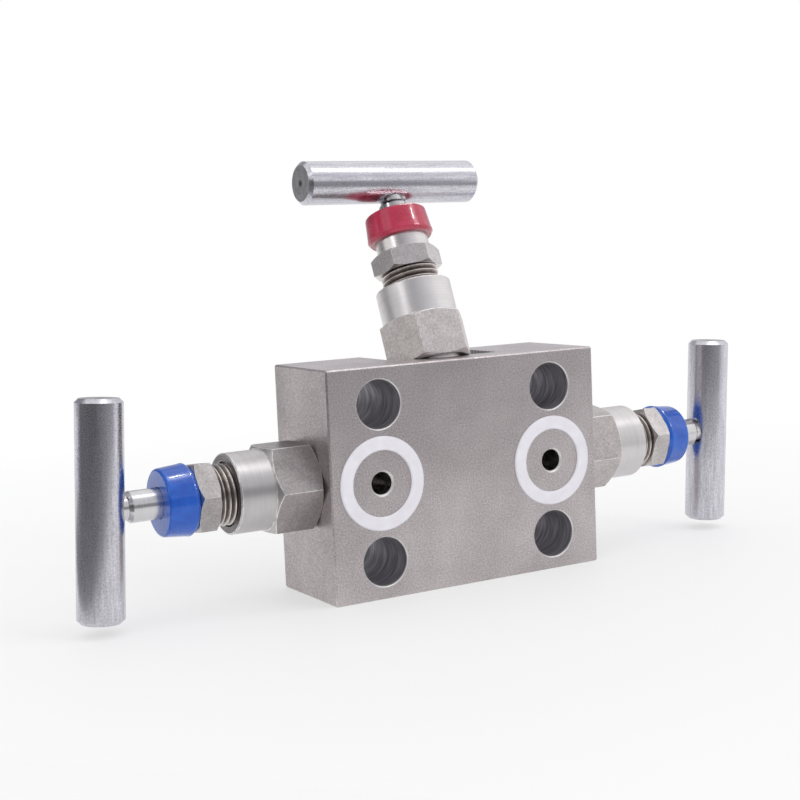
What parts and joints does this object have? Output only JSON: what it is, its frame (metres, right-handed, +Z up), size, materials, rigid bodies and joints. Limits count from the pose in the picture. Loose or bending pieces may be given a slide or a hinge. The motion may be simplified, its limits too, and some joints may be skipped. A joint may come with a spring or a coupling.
{
  "type": "instrument valve manifold",
  "caption": "Stainless instrument manifold block with needle valves at both ends and a leaning equalizing valve on top, each turned by a T-bar.",
  "frame": {"origin": "middle of the instrument face, between its two ports and at the centre of its four bolt holes", "axes": "+X to the right seen from the instrument side, towards the right block valve; +Y into the block, away from the instrument; +Z up, towards the equalizing valve"},
  "size_m": [0.2094, 0.043, 0.1153],
  "materials": {
    "block_steel": "fine blasted stainless steel with nicked bright edges",
    "bonnet_steel": "turned stainless steel, milled flats",
    "gland_steel": "turned stainless steel, milled flats",
    "stem_steel": "ground stainless steel",
    "bar_steel": "polished stainless steel",
    "inner_steel": "turned stainless steel",
    "ring_fluoropolymer": "smooth white",
    "packing_fluoropolymer": "smooth white",
    "blue_cap_plastic": "glossy moulded",
    "red_cap_plastic": "glossy moulded"
  },
  "bodies": {
    "block_body": {"manifold_block": "block_steel", "left_port_ring": "ring_fluoropolymer", "right_port_ring": "ring_fluoropolymer", "left_bonnet": "bonnet_steel", "left_bonnet_seal": "packing_fluoropolymer", "left_packing_washer": "inner_steel", "left_packing": "packing_fluoropolymer", "left_thrust_bushing": "inner_steel", "left_gland_bolt": "gland_steel", "left_dust_cap": "blue_cap_plastic", "right_bonnet": "bonnet_steel", "right_bonnet_seal": "packing_fluoropolymer", "right_packing_washer": "inner_steel", "right_packing": "packing_fluoropolymer", "right_thrust_bushing": "inner_steel", "right_gland_bolt": "gland_steel", "right_dust_cap": "blue_cap_plastic", "equalizing_bonnet": "bonnet_steel", "equalizing_bonnet_seal": "packing_fluoropolymer", "equalizing_packing_washer": "inner_steel", "equalizing_packing": "packing_fluoropolymer", "equalizing_thrust_bushing": "inner_steel", "equalizing_gland_bolt": "gland_steel", "equalizing_dust_cap": "red_cap_plastic"},
    "left_tip_body": {"left_needle_tip": "inner_steel"},
    "left_stem_body": {"left_stem": "stem_steel", "left_t_bar": "bar_steel"},
    "right_tip_body": {"right_needle_tip": "inner_steel"},
    "right_stem_body": {"right_stem": "stem_steel", "right_t_bar": "bar_steel"},
    "equalizing_tip_body": {"equalizing_needle_tip": "inner_steel"},
    "equalizing_stem_body": {"equalizing_stem": "stem_steel", "equalizing_t_bar": "bar_steel"}
  },
  "joints": [
    {"name": "left_valve_lift", "type": "slide", "parent": "block_body", "child": "left_tip_body", "axis": [-1, 0, 0], "range_m": [-0.00376, 0.00041]},
    {"name": "left_valve_turn", "type": "hinge", "parent": "left_tip_body", "child": "left_stem_body", "pos_m": [-0.042, 0.015, 0], "axis": [-1, 0, 0], "range_deg": [-1350, 144]},
    {"name": "right_valve_lift", "type": "slide", "parent": "block_body", "child": "right_tip_body", "axis": [1, 0, 0], "range_m": [-0.00296, 0.00121]},
    {"name": "right_valve_turn", "type": "hinge", "parent": "right_tip_body", "child": "right_stem_body", "pos_m": [0.042, 0.015, 0], "axis": [1, 0, 0], "range_deg": [-1062, 432]},
    {"name": "equalizing_valve_lift", "type": "slide", "parent": "block_body", "child": "equalizing_tip_body", "axis": [0, 0.3665, 0.9304], "range_m": [-0.00256, 0.00161]},
    {"name": "equalizing_valve_turn", "type": "hinge", "parent": "equalizing_tip_body", "child": "equalizing_stem_body", "pos_m": [-0.001, 0.016, 0.02785], "axis": [0, 0.3665, 0.9304], "range_deg": [-918, 576]}
  ],
  "couplings": [
    {"joint": "left_valve_lift", "follows": "left_valve_turn", "m_per_rad": 0.00015915},
    {"joint": "right_valve_lift", "follows": "right_valve_turn", "m_per_rad": 0.00015915},
    {"joint": "equalizing_valve_lift", "follows": "equalizing_valve_turn", "m_per_rad": 0.00015915}
  ]
}
